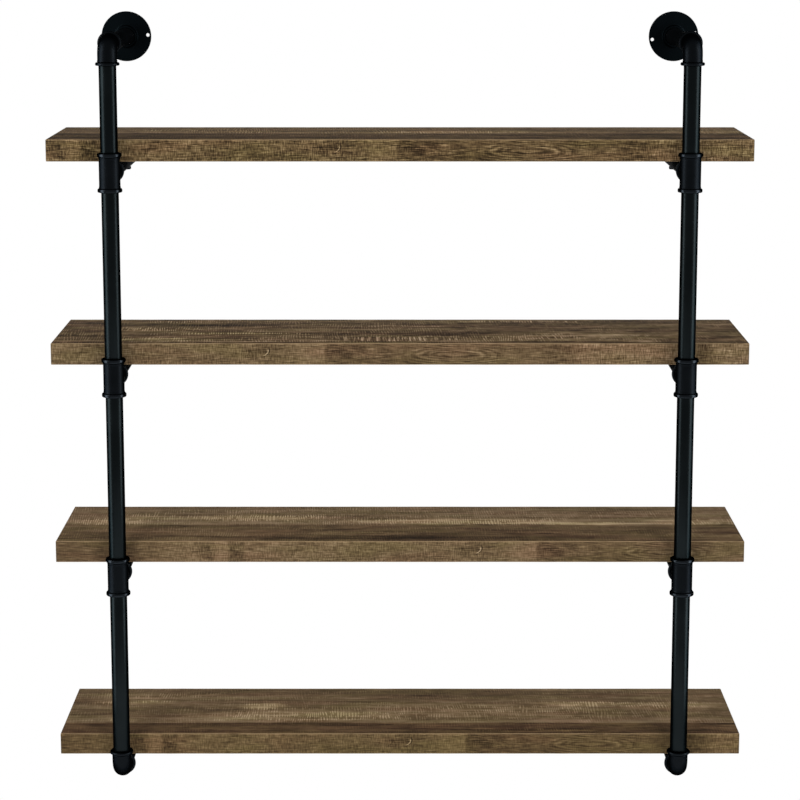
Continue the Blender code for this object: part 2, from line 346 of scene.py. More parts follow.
def paint(red, green, blue):
    """A colour written as on a colour card, 0 to 255, turned into the shader's linear values."""
    return tuple(
        c / 12.92 if c <= 0.04045 else ((c + 0.055) / 1.055) ** 2.4
        for c in (red / 255, green / 255, blue / 255)
    )


# Wood tones, from the darkest fissures to the palest saw marks
WOOD_TONES = (
    (0.00, paint(32, 25, 16)),
    (0.25, paint(64, 51, 34)),
    (0.50, paint(96, 79, 53)),
    (0.75, paint(127, 108, 78)),
    (1.00, paint(166, 146, 113)),
)

# Tints that are laid over the wood, and the colour of its rubbed arrises
ROSE_TINT = (1.06, 0.97, 1.01)
OLIVE_TINT = (0.96, 1.02, 0.90)
TOP_TINT = (1.0, 0.99, 1.14)
GREY_TINT = (1.0, 1.0, 1.11)
RED_TINT = (1.12, 0.96, 0.90)
RUBBED_WOOD = paint(158, 134, 102)

# A face counts as turned up or to the side while this share of its normal goes from first to last
FACING = (0.66, 0.74)

# The print on the front edge, read along the board from its butt joint:
# (metres, tone, hatching, rosiness)
FRONT_PATCHES = (
    (-0.860, 0.44, 0.15, 0.2),
    (-0.740, 0.40, 0.15, 0.4),
    (-0.620, 0.58, 0.70, 0.1),
    (-0.580, 0.42, 1.00, 0.1),
    (-0.566, 0.62, 0.60, 0.8),
    (-0.548, 0.60, 0.60, 0.8),
    (-0.544, 0.40, 1.00, 0.2),
    (-0.524, 0.42, 1.00, 0.0),
    (-0.516, 0.55, 0.60, 0.6),
    (-0.480, 0.52, 0.70, 0.0),
    (-0.160, 0.50, 0.75, 0.0),
    (-0.110, 0.44, 0.95, 0.0),
    (-0.075, 0.50, 0.60, 0.0),
    (-0.001, 0.60, 0.40, 0.4),
    (0.001, 0.36, 0.45, 0.4),
    (0.110, 0.42, 0.20, 0.3),
    (0.330, 0.46, 0.30, 0.1),
    (0.430, 0.44, 0.60, 0.2),
    (0.452, 0.58, 0.85, 0.6),
    (0.645, 0.52, 0.95, 0.2),
    (0.656, 0.36, 1.00, 0.5),
    (0.680, 0.54, 0.80, 0.2),
    (0.760, 0.56, 0.80, 0.1),
)

# On each front: how much its tone is shifted, how strong the print is, and how greyish
FRONT_PRINT = {
    1: (-0.09, 1.35, 0.0),
    2: (-0.01, 0.95, 1.0),
    3: (0.00, 0.85, 1.0),
    4: (-0.06, 0.80, 0.0),
}

# On each top: its tone, the strength of its streaks and of its saw marks, and how dark and how
# red its dark plank is
TOP_PRINT = {
    1: (0.41, 1.00, 1.00, 0.17, 0.0),
    2: (0.43, 1.40, 1.20, 0.14, 0.0),
    3: (0.57, 0.75, 0.85, 0.14, 0.1),
    4: (0.52, 0.80, 0.55, 0.21, 0.5),
}

# Where the print's butt joint falls on each board's front, and the lengthwise seam on its top
BUTT_JOINT_X = {1: -0.003, 2: -0.129, 3: 0.244, 4: 0.120}
PLANK_SEAM_Y = {1: -0.130, 2: -0.236, 3: -0.135, 4: -0.196}

# The stretch of the front's print that wraps the boards' ends starts this far from the butt joint
END_PRINT_PLACE = -0.20

# Golden and shaded places on each top: (x, y, half length, half width, strength)
TOP_PATCHES = {
    1: (
        (-0.38, -0.085, 0.10, 0.030, 0.6),
        (-0.27, -0.095, 0.05, 0.030, 0.6),
        (0.08, -0.105, 0.16, 0.028, 0.9),
        (0.58, -0.100, 0.07, 0.035, 0.6),
        (0.30, -0.060, 0.14, 0.030, -0.4),
    ),
    2: (
        (-0.38, -0.035, 0.07, 0.016, 0.7),
        (-0.43, -0.110, 0.09, 0.018, 1.1),
        (-0.30, -0.153, 0.11, 0.010, 1.5),
        (-0.44, -0.208, 0.08, 0.012, 1.5),
        (0.24, -0.020, 0.18, 0.012, 0.9),
        (0.32, -0.190, 0.22, 0.035, 0.6),
        (-0.30, -0.060, 0.09, 0.018, -0.7),
        (0.10, -0.150, 0.12, 0.020, -0.6),
        (0.26, -0.055, 0.22, 0.020, -0.5),
    ),
    3: (
        (-0.24, -0.085, 0.12, 0.022, 1.2),
        (-0.43, -0.085, 0.10, 0.024, 0.7),
        (-0.54, -0.115, 0.09, 0.020, 0.9),
        (0.10, -0.112, 0.22, 0.022, 1.1),
        (0.32, -0.126, 0.16, 0.010, 1.5),
        (0.53, -0.112, 0.10, 0.024, 0.8),
        (-0.10, -0.232, 0.22, 0.022, -0.8),
        (0.14, -0.222, 0.24, 0.026, -0.7),
    ),
    4: (
        (-0.44, -0.045, 0.11, 0.026, 0.6),
        (-0.50, -0.082, 0.08, 0.014, 1.1),
        (-0.26, -0.105, 0.05, 0.020, 1.4),
        (-0.20, -0.160, 0.20, 0.030, 0.8),
        (0.10, -0.130, 0.40, 0.045, 0.5),
        (0.34, -0.088, 0.10, 0.014, 1.5),
        (0.50, -0.100, 0.12, 0.022, 0.7),
        (0.24, -0.236, 0.12, 0.009, 0.8),
        (0.05, -0.030, 0.30, 0.025, -0.4),
    ),
}

# Saw marks, and the one row of wide ones on the second board: (x, y, half length, half width)
SAW_SPACING = 0.0046
WIDE_SAW_SPACING = 0.0105
WIDE_SAW_LEVEL = 2
WIDE_SAW_ROW = (-0.01, -0.208, 0.125, 0.023)

# Marks in the print of the front: (metres from the butt joint, height on the front)
CATHEDRAL_PLACE = (0.225, -0.001)
CATHEDRAL_SPACING = 0.0019
SWIRL_PLACE = (-0.139, 0.002)
SWIRL_RADIUS = 0.0050
CURL_PLACE = (-0.106, 0.003)
CURL_RADIUS = 0.0042
CURL_SHADE_RADII = (0.0022, 0.0064)


def board_finish(level):
    """Printed rustic oak: planks with saw marks on the top, a mottled end-grain print in front.

    In this finish the factors in a point are waves per metre along and across the board. What
    follows them only picks another stretch of noise.
    """
    wood = Finish(f"rustic_oak_board_{level}", ior=1.08)
    x, y, z = wood.parts(wood.node("ShaderNodeTexCoord", None, None, "Object"))
    facing = wood.parts(wood.node("ShaderNodeNewGeometry", None, None, "Normal"))
    on_flat = wood.band(abs(facing[2]), *FACING)
    on_end = wood.band(abs(facing[0]), *FACING)
    on_end_print = y + END_PRINT_PLACE + BUTT_JOINT_X[level]
    along = x * (1 - on_end) + on_end_print * on_end
    across = y * on_flat + z * (1 - on_flat)

    top, top_gold, dark_plank = top_tone(wood, x, y, level)
    front, front_rose = front_tone(wood, along, z, level, on_end)
    pores = wood.cloud(wood.point(along * 70, across * 1500, level), detail=3, roughness=0.6)
    tone = top * on_flat + front * (1 - on_flat) + (pores - 0.5) * 0.22

    colour = wood.node("ShaderNodeValToRGB", {"stops": WOOD_TONES}, {0: tone})
    tint = wood.cloud(wood.point(along * 6, across * 30, level + 9.1), detail=2)
    rose = wood.band(tint, 0.50, 0.66) * 0.7 + front_rose * (1 - on_flat) * 0.7
    colour = wood.blend(rose, colour, ROSE_TINT, "MULTIPLY")
    olive = wood.band(tint, 0.50, 0.36) * 0.7
    colour = wood.blend(olive, colour, OLIVE_TINT, "MULTIPLY")
    colour = wood.blend(on_flat * (1 - top_gold * 0.7), colour, TOP_TINT, "MULTIPLY")
    greyness = FRONT_PRINT[level][-1]
    if greyness:
        colour = wood.blend((1 - on_flat) * greyness, colour, GREY_TINT, "MULTIPLY")
    redness = TOP_PRINT[level][-1]
    if redness:
        colour = wood.blend(on_flat * dark_plank * redness, colour, RED_TINT, "MULTIPLY")

    worn = arris_wear(wood, y, z, along)
    colour = wood.blend(worn * 0.55, colour, RUBBED_WOOD)
    wood.feed(wood.shader.inputs["Base Color"], colour)
    wood.feed(wood.shader.inputs["Roughness"], 0.80 - (pores - 0.5) * 0.30)
    wood.bump(tone, 0.30, 0.0005)
    return wood.material


def top_tone(wood, x, y, level):
    """Light and dark planks side by side, long streaks, and rows of saw marks across them."""
    seam = PLANK_SEAM_Y[level]
    wander = wood.cloud(wood.point(x * 3, level * 1.7), detail=2) - 0.5
    ahead = seam - y + wander * 0.006
    dark_plank = wood.band(ahead, -0.002, 0.002)
    light_edge = wood.band(ahead, -0.050, -0.010) * (1 - dark_plank)

    tone, streaking, sawing, depth, _ = TOP_PRINT[level]
    bend = wood.cloud(wood.point(x * 4, y * 9, level + 0.7), detail=2) - 0.5
    near_x = x + bend * 0.10
    near_y = y + (wood.cloud(wood.point(x * 14, y * 30, level + 4.4), detail=3) - 0.5) * 0.030
    patches = sum(patch(wood, near_x, near_y, *place) for place in TOP_PATCHES[level])
    gold = wood.node("ShaderNodeClamp", None, {0: patches, 1: 0.0, 2: 1.3})

    broad = wood.cloud(wood.point(x * 1.8, y * 26, level * 2.3), detail=3, roughness=0.6)
    streaks = wood.cloud(wood.point(x * 8, y * 105, level * 4.1 + 2), detail=4, roughness=0.7)
    blotches = wood.cloud(wood.point(x * 24, y * 62, level * 1.9), detail=4, roughness=0.7)
    grain = (broad - 0.5) * 0.60 + (streaks - 0.5) * 0.85 + (blotches - 0.5) * 0.75
    tone = grain * streaking + tone + light_edge * 0.09 - dark_plank * depth
    tone = tone + patches * (0.10 + streaks * 0.26)

    rows = wood.cloud(wood.point(x * 9, y * 70, level + 6.3), detail=2)
    sawn = (0.3 + wood.band(rows, 0.40, 0.60)) * (0.55 + gold * 0.9) * (1 - dark_plank * 0.4)
    tone = tone + (saw_marks(wood, x, y, SAW_SPACING, level) - 0.35) * sawn * sawing * 0.42
    if level == WIDE_SAW_LEVEL:
        row = wood.band(patch(wood, x, y, *WIDE_SAW_ROW, 1.0), 0.1, 0.5)
        wide_marks = saw_marks(wood, x, y * 0.2, WIDE_SAW_SPACING, level)
        tone = tone + (wide_marks - 0.30) * row * 0.50

    fissures = wood.cloud(wood.point(x * 5.5, y * 75, level * 3.1 + 5), detail=4, roughness=0.6)
    return tone - wood.band(fissures, 0.58, 0.68) * (0.09 + dark_plank * 0.16), gold, dark_plank


def patch(wood, x, y, at_x, at_y, half_length, half_width, strength):
    """A soft oval place, as strong as it says at its middle."""
    reach = ((x - at_x) / half_length) ** 2 + ((y - at_y) / half_width) ** 2
    return wood.band(reach, 1.5, 0.1) * strength


def saw_marks(wood, along, across, spacing, level):
    """Short marks across the grain, left by the saw, some of them missing."""
    drift = wood.cloud(wood.point(along * 16, across * 5, level * 1.3), detail=2)
    phase = along / spacing + across * 9 + drift * 6
    tooth = wood.node("ShaderNodeMath", {"operation": "PINGPONG"}, {0: phase, 1: 0.5})
    broken = wood.cloud(wood.point(along * 110, across * 36, level), detail=2)
    return wood.band(tooth, 0.18, 0.38) * wood.band(broken, 0.38, 0.56)


def front_tone(wood, along, across, level, on_end):
    """The mottled print of the front edge: blocks of tone, cathedral grain and a small curl."""
    start, end = FRONT_PATCHES[0][0], FRONT_PATCHES[-1][0]
    length = end - start
    place = along - BUTT_JOINT_X[level]
    ragged = wood.cloud(wood.point(place * 30, across * 160), detail=2) - 0.5
    share = (place + ragged * 0.005 - start) / length
    stops = [((at - start) / length, print_here) for at, *print_here in FRONT_PATCHES]
    patches = wood.node("ShaderNodeValToRGB", {"stops": stops}, {0: share})
    tone, hatch, rose = [
        wood.node("ShaderNodeSeparateColor", None, {0: patches}, channel) for channel in range(3)
    ]

    hatch = hatch * (1 - on_end * 0.75)
    mottle = wood.cloud(wood.point(place * 16, across * 70, 5.3), detail=3)
    streaks = wood.cloud(wood.point(place * 42, across * 620, 2.9), detail=2)
    ticks = wood.cloud(wood.point(place * 540, across * 90, 1.1), detail=2)
    detail = (mottle - 0.5) * 0.36 + (streaks - 0.5) * 1.10
    detail = detail + (ticks - 0.5) * (0.22 + hatch) * 0.95
    fissures = wood.cloud(wood.point(place * 32, across * 600, 7.7), detail=2)
    detail = detail - wood.band(fissures, 0.54, 0.64) * (0.6 + hatch * 0.4) * 0.12
    detail = detail + cathedral(wood, *offset(place, across, CATHEDRAL_PLACE)) * 0.19
    detail = detail + slanted_flecks(wood, place, across) * 0.18

    shift, strength, _ = FRONT_PRINT[level]
    tone = tone + detail * strength + shift
    swirl = ring_mark(wood, *offset(place, across, SWIRL_PLACE), SWIRL_RADIUS)
    curl_spot = offset(place, across, CURL_PLACE)
    curl = ring_mark(wood, *curl_spot, CURL_RADIUS)
    shades = sum(ring_mark(wood, *curl_spot, radius) for radius in CURL_SHADE_RADII)
    return tone - swirl * 0.10 - shades * 0.16 + curl * 0.52, rose


def offset(along, across, spot):
    """The same two layers, measured from another spot."""
    return along - spot[0], across - spot[1]


def cathedral(wood, along, across):
    """Long pointed ovals of grain, one inside the other."""
    wobble = wood.cloud(wood.point(along * 16, across * 60, 4.2), detail=4) - 0.5
    reach = ((along * 0.14) ** 2 + across ** 2) ** 0.5 + wobble * 0.012
    phase = reach / CATHEDRAL_SPACING
    lines = wood.node("ShaderNodeMath", {"operation": "PINGPONG"}, {0: phase, 1: 1.0})
    return (wood.band(lines, 0.2, 0.8) - 0.5) * wood.band(abs(along), 0.120, 0.060)


def slanted_flecks(wood, place, across):
    """Tan flecks that slant down to the right, just past the butt joint."""
    fleck = wood.cloud(wood.point(place * 60 + across * 120, across * 300, 3.3), detail=2)
    near = wood.band(place, 0.0, 0.004) * wood.band(place, 0.150, 0.090)
    return (wood.band(fleck, 0.52, 0.64) - 0.25) * near


def ring_mark(wood, along, across, radius):
    """A small curl where a twig left its mark: one side of a leaning ring."""
    lean = along - across * 0.55
    reach = (lean ** 2 + (across * 0.85) ** 2) ** 0.5
    ring = wood.band(abs(reach - radius), 0.0017, 0.0006)
    return ring * wood.band(lean, -0.001, 0.003)


def arris_wear(wood, y, z, along):
    """Paler, rubbed stretches along the front and back arrises."""
    low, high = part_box("shelf_board_1")
    half = (high.z - low.z) / 2
    to_top = half - abs(z)
    to_front = wood.node("ShaderNodeMath", {"operation": "MINIMUM"}, {0: y - low.y, 1: 0.0 - y})
    near = wood.band(to_top, *ARRIS_WEAR) * wood.band(to_front, *ARRIS_WEAR)
    rubbed = wood.cloud(wood.point(along * 18, 0.0), detail=4, roughness=0.6)
    return near * wood.band(rubbed, 0.30, 0.50)


# The black coats: (colour, size and depth of the grain, roughness, where a casting's rims start)
BLACK_COATS = {
    "upright_coat": (paint(13, 16, 17), 0.0016, 0.00006, 0.31, None),
    # The arms' coat is the uprights' black painted lighter: painted light on the arms.
    "arm_coat_painted_light": (paint(20, 23, 25), 0.0016, 0.00006, 0.46, None),
    "casting_coat": (paint(10, 12, 14), 0.0009, 0.00010, 0.42, 0.0202),
    "flange_coat": (paint(6, 9, 11), 0.0009, 0.00010, 0.50, None),
    "plug_plastic": (paint(24, 25, 26), 0.0007, 0.00006, 0.60, None),
    "screw_black": (paint(18, 20, 22), 0.0005, 0.00004, 0.36, None),
}
RIM_WIDTH = 0.001


def black_paint(name, colour, grain, grain_depth, roughness, rim_radius):
    """Satin black coat, written as a dark metal so that it stays dark when seen at a slant.

    On a casting, whatever stands further out from its sockets' axes than rim_radius is glossier,
    and its colour is lighter: a painted glint on the bead rims.
    """
    coat = Finish(name, metallic=1.0)
    coat.feed(coat.shader.inputs["Specular Tint"], (0.0, 0.0, 0.0))
    where = coat.node("ShaderNodeNewGeometry", None, None, "Position")
    pimples = coat.cloud(where, scale=1 / grain, detail=3, roughness=0.6)
    drift = coat.cloud(where, scale=14.0, detail=3)
    dust = coat.band(drift, 0.35, 0.75)
    colour_now = coat.blend(dust * 0.5, colour, tuple(c * 1.5 for c in colour))
    gloss = roughness + (drift - 0.5) * 0.16 + (pimples - 0.5) * 0.10
    if rim_radius:
        x, y, z = coat.parts(coat.node("ShaderNodeTexCoord", None, None, "Object"))
        reaches = {0: (x ** 2 + y ** 2) ** 0.5, 1: (x ** 2 + z ** 2) ** 0.5}
        reach = coat.node("ShaderNodeMath", {"operation": "MINIMUM"}, reaches)
        rim_glint = coat.band(reach, rim_radius, rim_radius + RIM_WIDTH)
        # Painted glint: the rims' colour is lighter, standing in for the glints of light on the
        # bead rims.
        colour_now = coat.blend(rim_glint, colour_now, tuple(c * 2.4 for c in colour))
        gloss = gloss - rim_glint * 0.20
    coat.feed(coat.shader.inputs["Base Color"], colour_now)
    coat.feed(coat.shader.inputs["Roughness"], gloss)
    coat.bump(pimples, 0.5, grain_depth)
    return coat.material


def blank_object(name, mesh):
    made = bpy.data.objects.new(name, mesh)
    bpy.context.scene.collection.objects.link(made)
    return made


def mesh_of(bm, name):
    """Ends a bmesh: faces outward, smooth on its round sides."""
    bmesh.ops.remove_doubles(bm, verts=bm.verts, dist=TINY)
    bmesh.ops.recalc_face_normals(bm, faces=bm.faces)
    mesh = bpy.data.meshes.new(name)
    bm.to_mesh(mesh)
    bm.free()
    mesh.shade_smooth()
    mesh.set_sharp_from_angle(angle=SMOOTH_ANGLE)
    return mesh


def skin(bm, ring, following):
    """Faces between two rings of points, either of which may be a single point."""
    count = max(len(ring), len(following))
    for here in range(count):
        there = (here + 1) % count
        corners = [ring[here % len(ring)], ring[there % len(ring)]]
        corners += [following[there % len(following)], following[here % len(following)]]
        bm.faces.new(list(dict.fromkeys(corners)))


def eased(corners, steps=CORNER_STEPS):
    """An outline with rounded corners. Each corner is (radius, height, ease)."""
    outline = []
    points = [Vector(corner[:2]) for corner in corners]
    for index, (point, corner) in enumerate(zip(points, corners)):
        ease = corner[2] if len(corner) > 2 else 0.0
        if not ease or index in (0, len(points) - 1):
            outline.append(tuple(point))
            continue
        before = points[index - 1] - point
        after = points[index + 1] - point
        start = point + before.normalized() * min(ease, before.length * EASE_SHARE)
        end = point + after.normalized() * min(ease, after.length * EASE_SHARE)
        outline += [tuple(spot) for spot in corner_curve(start, point, end, steps)]
    return outline


def corner_curve(start, corner, end, steps):
    """Points on the curve that rounds off a corner."""
    shares = [step / steps for step in range(steps + 1)]
    return [start * (1 - t) ** 2 + corner * 2 * t * (1 - t) + end * t ** 2 for t in shares]


def turned(outline, sides=ROUND_SIDES, hollow=False):
    """Turns an outline of (radius, height) points about +Z. A hollow one closes on itself."""
    bm = bmesh.new()
    rings = rings_of(bm, outline, sides)
    following = rings[1:] + (rings[:1] if hollow else [])
    for ring, after in zip(rings, following):
        skin(bm, ring, after)
    return bm


def rings_of(bm, outline, sides):
    """A ring of points for each point of the outline, or a single one where it meets the axis."""
    return [ring_of(bm, [radius] * (sides if radius > TINY else 1), z) for radius, z in outline]


def ring_of(bm, radii, height):
    """A ring of points at one height, one for each radius."""
    ring = []
    for index, radius in enumerate(radii):
        angle = math.tau * index / len(radii)
        ring.append(bm.verts.new((radius * math.cos(angle), radius * math.sin(angle), height)))
    return ring


def shaped(blank, steps):
    """Joins to a blank mesh or cuts from it, in order, and gives back the new bmesh."""
    body = blank_object("blank", blank)
    tools = []
    for operation, mesh, matrix in steps:
        tool = blank_object("tool", mesh)
        tool.matrix_world = matrix
        tools.append(tool)
        modifier = body.modifiers.new("shape", "BOOLEAN")
        modifier.operation = operation
        modifier.object = tool
        modifier.solver = "EXACT"
    bpy.context.view_layer.update()
    evaluated = body.evaluated_get(bpy.context.evaluated_depsgraph_get())
    bm = bmesh.new()
    bm.from_mesh(evaluated.to_mesh())
    evaluated.to_mesh_clear()
    for made in [body, *tools]:
        bpy.data.objects.remove(made, do_unlink=True)
    for face in bm.faces:
        face.material_index = 0
    return bm


def drill(bottom, top):
    """A cutter for the hole of a screw's shank."""
    outline = [(0, bottom), (SHANK_HOLE_RADIUS, bottom), (SHANK_HOLE_RADIUS, top), (0, top)]
    return mesh_of(turned(outline, SCREW_SIDES), "drill")


def socket_corners(body, bead, reach, bead_length):
    """Outside of a fitting's socket: a slight flare, a groove, the bead, and its rim."""
    bead_start = reach - bead_length
    return [
        (body, bead_start - BEAD_FLARE, BEAD_FLARE_EASE),
        (body + BEAD_GROOVE, bead_start - BEAD_GROOVE * 2, BEAD_GROOVE_EASE),
        (body, bead_start, BEAD_GROOVE_EASE),
        (bead, bead_start + BEAD_GROOVE, BEAD_ROUND),
        (bead, reach - BEAD_GROOVE, BEAD_ROUND),
        (bead - MOUTH_RIM, reach, BEAD_GROOVE_EASE),
        (bead - MOUTH_EDGE, reach),
    ]


def bore_corners(reach):
    """Inside of a socket, from the foot of its flared mouth in to its shoulder."""
    shoulder = reach - SOCKET_DEPTH
    return [
        (SOCKET_RADIUS, reach - MOUTH_DEPTH),
        (SOCKET_RADIUS, shoulder),
        (PASSAGE_RADIUS, shoulder),
    ]


def tee_mesh():
    """A cast tee: upright run, branch to +Y, with a fillet where they meet."""
    size = span("tee_left_1")
    bead, half_run = size.x / 2, size.z / 2
    reach = size.y - bead
    run_end = eased(socket_corners(TEE_BODY_RADIUS, bead, half_run, TEE_BEAD_LENGTH))
    run = fill_between(run_end, half_run)
    branch_end = eased(socket_corners(TEE_BRANCH_RADIUS, bead, reach, TEE_BEAD_LENGTH))
    branch = [(0, 0), (TEE_BRANCH_RADIUS, 0)]
    branch += rising(TEE_BRANCH_RADIUS, 0, branch_end[0][1]) + branch_end + [(0, reach)]
    to_wall = Matrix.Rotation(math.radians(-90), 4, "X")
    body = shaped(
        mesh_of(turned(run), "tee_run"),
        [("UNION", mesh_of(turned(branch), "tee_branch"), to_wall)],
    )
    ease_root(body, run_end, branch_end)
    core = socket_core(half_run, bead)
    through = [(0, -half_run - OVERRUN)] + mirrored(core) + core + [(0, half_run + OVERRUN)]
    side = [(0, 0), (PASSAGE_RADIUS, 0)] + socket_core(reach, bead) + [(0, reach + OVERRUN)]
    cuts = [
        ("DIFFERENCE", mesh_of(turned(through), "run_core"), Matrix()),
        ("DIFFERENCE", mesh_of(turned(side), "branch_core"), to_wall),
    ]
    return mesh_of(shaped(mesh_of(body, "tee_body"), cuts), "tee")


def socket_core(reach, bead):
    """The hollow of a socket, from its passage out past its flared mouth."""
    mouth = bead - MOUTH_EDGE
    return bore_corners(reach)[::-1] + [(mouth, reach), (mouth, reach + OVERRUN)]


def mirrored(outline):
    return [(radius, -height) for radius, height in outline[::-1]]


def rising(radius, start, end):
    """Points up a straight side, close enough together to be shaped afterwards."""
    count = max(1, round((end - start) / TEE_POINT_SPACING))
    return [(radius, start + (end - start) * index / count) for index in range(1, count)]


def fill_between(end, half):
    """The whole outline of a run, mirrored from one end, with points along its body."""
    body_radius, top = end[0]
    return [(0, -half)] + mirrored(end) + rising(body_radius, -top, top) + end + [(0, half)]


def ease_root(bm, run_end, branch_end):
    """Moves the skin near the joint onto a smooth fillet between the run and the branch."""
    limit = TEE_ROOT_FILLET
    for vert in bm.verts:
        point = vert.co
        if abs(point.z) > run_end[0][1] or point.y > branch_end[0][1]:
            continue
        for _ in range(FILLET_PASSES):
            to_run = math.hypot(point.x, point.y) - TEE_BODY_RADIUS
            to_branch = math.hypot(point.x, point.z) - TEE_BRANCH_RADIUS
            if point.y < 0 or to_run < -limit or to_branch < -limit:
                break
            from_run = Vector((point.x, point.y, 0)).normalized()
            from_branch = Vector((point.x, 0, point.z)).normalized()
            crossing = 1 - from_run.dot(from_branch)
            share = max(limit - abs(to_run - to_branch), 0) / limit
            level = min(to_run, to_branch) - share ** 2 * limit / 4 * crossing
            weight = 0.5 + 0.5 * (to_branch - to_run) / limit
            weight = min(1, max(0, weight))
            away = from_run * weight + from_branch * (1 - weight)
            point -= away * (level / max(away.length_squared, FILLET_LEAST_SLOPE))


def elbow_mesh():
    """A cast elbow: one socket down, one to +Y, swept round an even bend."""
    size = span("top_elbow_left")
    bead = size.x / 2
    reach = size.z - bead
    leg = [(ELBOW_BODY_RADIUS, ELBOW_BEND_RADIUS)]
    leg += eased(socket_corners(ELBOW_BODY_RADIUS, bead, reach, ELBOW_BEAD_LENGTH))
    bore = bore_corners(reach)
    outside = [("down", *ring) for ring in leg[::-1]] + bend(ELBOW_BODY_RADIUS, BEND_STEPS)
    outside += [("back", *ring) for ring in leg]
    inside = [("back", *ring) for ring in bore]
    inside += bend(PASSAGE_RADIUS, PASSAGE_BEND_STEPS)[::-1]
    inside += [("down", *ring) for ring in bore[::-1]]
    bm = bmesh.new()
    rings = [elbow_ring(bm, *ring) for ring in outside + inside]
    for ring, following in zip(rings, rings[1:] + rings[:1]):
        skin(bm, ring, following)
    return mesh_of(bm, "elbow")


def bend(radius, steps):
    return [("bend", radius, math.pi / 2 * step / steps) for step in range(1, steps)]


def elbow_ring(bm, leg, radius, along):
    """A ring of points square to the elbow's centre line."""
    turn, centre = 0.0, Vector((0, 0, -along))
    if leg == "back":
        turn, centre = math.pi / 2, Vector((0, along, 0))
    if leg == "bend":
        turn = along
        centre = Vector((0, 1 - math.cos(turn), math.sin(turn) - 1)) * ELBOW_BEND_RADIUS
    matrix = Matrix.Translation(centre) @ Matrix.Rotation(-turn, 4, "X")
    return bmesh.ops.create_circle(bm, segments=ROUND_SIDES, radius=radius, matrix=matrix)["verts"]


def flange_mesh(side):
    """A round wall flange, turned, with two holes slightly countersunk. +Z faces the room."""
    size = span(f"wall_flange_{side}")
    radius, height = size.z / 2, size.y
    bore = TUBE_RADIUS + FLANGE_BORE_GAP
    corners = [
        (bore, 0),
        (radius, 0, FLANGE_SHARP_EASE),
        (radius, FLANGE_THICKNESS, FLANGE_EDGE_EASE),
        (FLANGE_HUB_RADIUS, FLANGE_THICKNESS, FLANGE_HUB_FILLET),
        (FLANGE_HUB_RADIUS, height, FLANGE_HUB_EASE),
        (bore + FLANGE_MOUTH_FLARE, height, FLANGE_SHARP_EASE),
        (bore, height - FLANGE_MOUTH_DEPTH),
    ]
    outline = eased(corners, FLANGE_CORNER_STEPS)
    blank = mesh_of(turned(outline, FLANGE_SIDES, hollow=True), "flange_blank")
    hole = [
        (0, -OVERRUN),
        (FLANGE_HOLE_RADIUS, -OVERRUN),
        (FLANGE_HOLE_RADIUS, FLANGE_THICKNESS - FLANGE_SINK),
        (FLANGE_HOLE_RADIUS + FLANGE_SINK + OVERRUN, FLANGE_THICKNESS + OVERRUN),
        (0, FLANGE_THICKNESS + OVERRUN),
    ]
    turn = Matrix.Rotation(math.radians(FLANGE_TURN_DEGREES[side]), 4, "Z")
    cuts = []
    for x in (FLANGE_HOLE_CIRCLE / 2, -FLANGE_HOLE_CIRCLE / 2):
        cutter = mesh_of(turned(hole, HOLE_SIDES), "hole")
        cuts.append(("DIFFERENCE", cutter, turn @ Matrix.Translation((x, 0, 0))))
    return mesh_of(shaped(blank, cuts), f"wall_flange_{side}")


def tube_mesh(length, holes=()):
    """A round tube with eased ends, and holes through both walls at each screw."""
    inner = TUBE_RADIUS - TUBE_WALL
    corners = [
        (inner, TUBE_WALL),
        (inner, 0, TUBE_END_EASE),
        (TUBE_RADIUS, 0, TUBE_END_EASE),
        (TUBE_RADIUS, length, TUBE_END_EASE),
        (inner, length, TUBE_END_EASE),
        (inner, length - TUBE_WALL),
    ]
    bm = turned(eased(corners, TUBE_END_STEPS), hollow=True)
    if not holes:
        return mesh_of(bm, "tube")
    reach = TUBE_RADIUS + OVERRUN
    lying = Matrix.Rotation(math.radians(90), 4, "X")
    cuts = []
    for height in holes:
        spot = Matrix.Translation((0, 0, height))
        cuts.append(("DIFFERENCE", drill(-reach, reach), spot @ lying))
    return mesh_of(shaped(mesh_of(bm, "tube_blank"), cuts), "arm")


def plug_mesh():
    """A push-in end plug with a rounded head and fins that grip the tube."""
    length = span("arm_plug_left_1").y
    core = TUBE_RADIUS - TUBE_WALL - SOCKET_GAP
    root = core - PLUG_FIN_DEPTH
    pitch = (length - PLUG_HEAD_THICKNESS) / PLUG_FIN_COUNT
    corners = [
        (0, 0),
        (TUBE_RADIUS, 0, PLUG_HEAD_EASE),
        (TUBE_RADIUS, PLUG_HEAD_THICKNESS, FINE_EASE),
        (root, PLUG_HEAD_THICKNESS),
    ]
    for fin in range(PLUG_FIN_COUNT):
        start = PLUG_HEAD_THICKNESS + pitch * fin
        heights = [start + pitch * share for share in PLUG_FIN_SHARES]
        corners += zip((root, core, core, root), heights)
    corners += [(root, length), (0, length)]
    return mesh_of(turned(eased(corners)), "arm_plug")


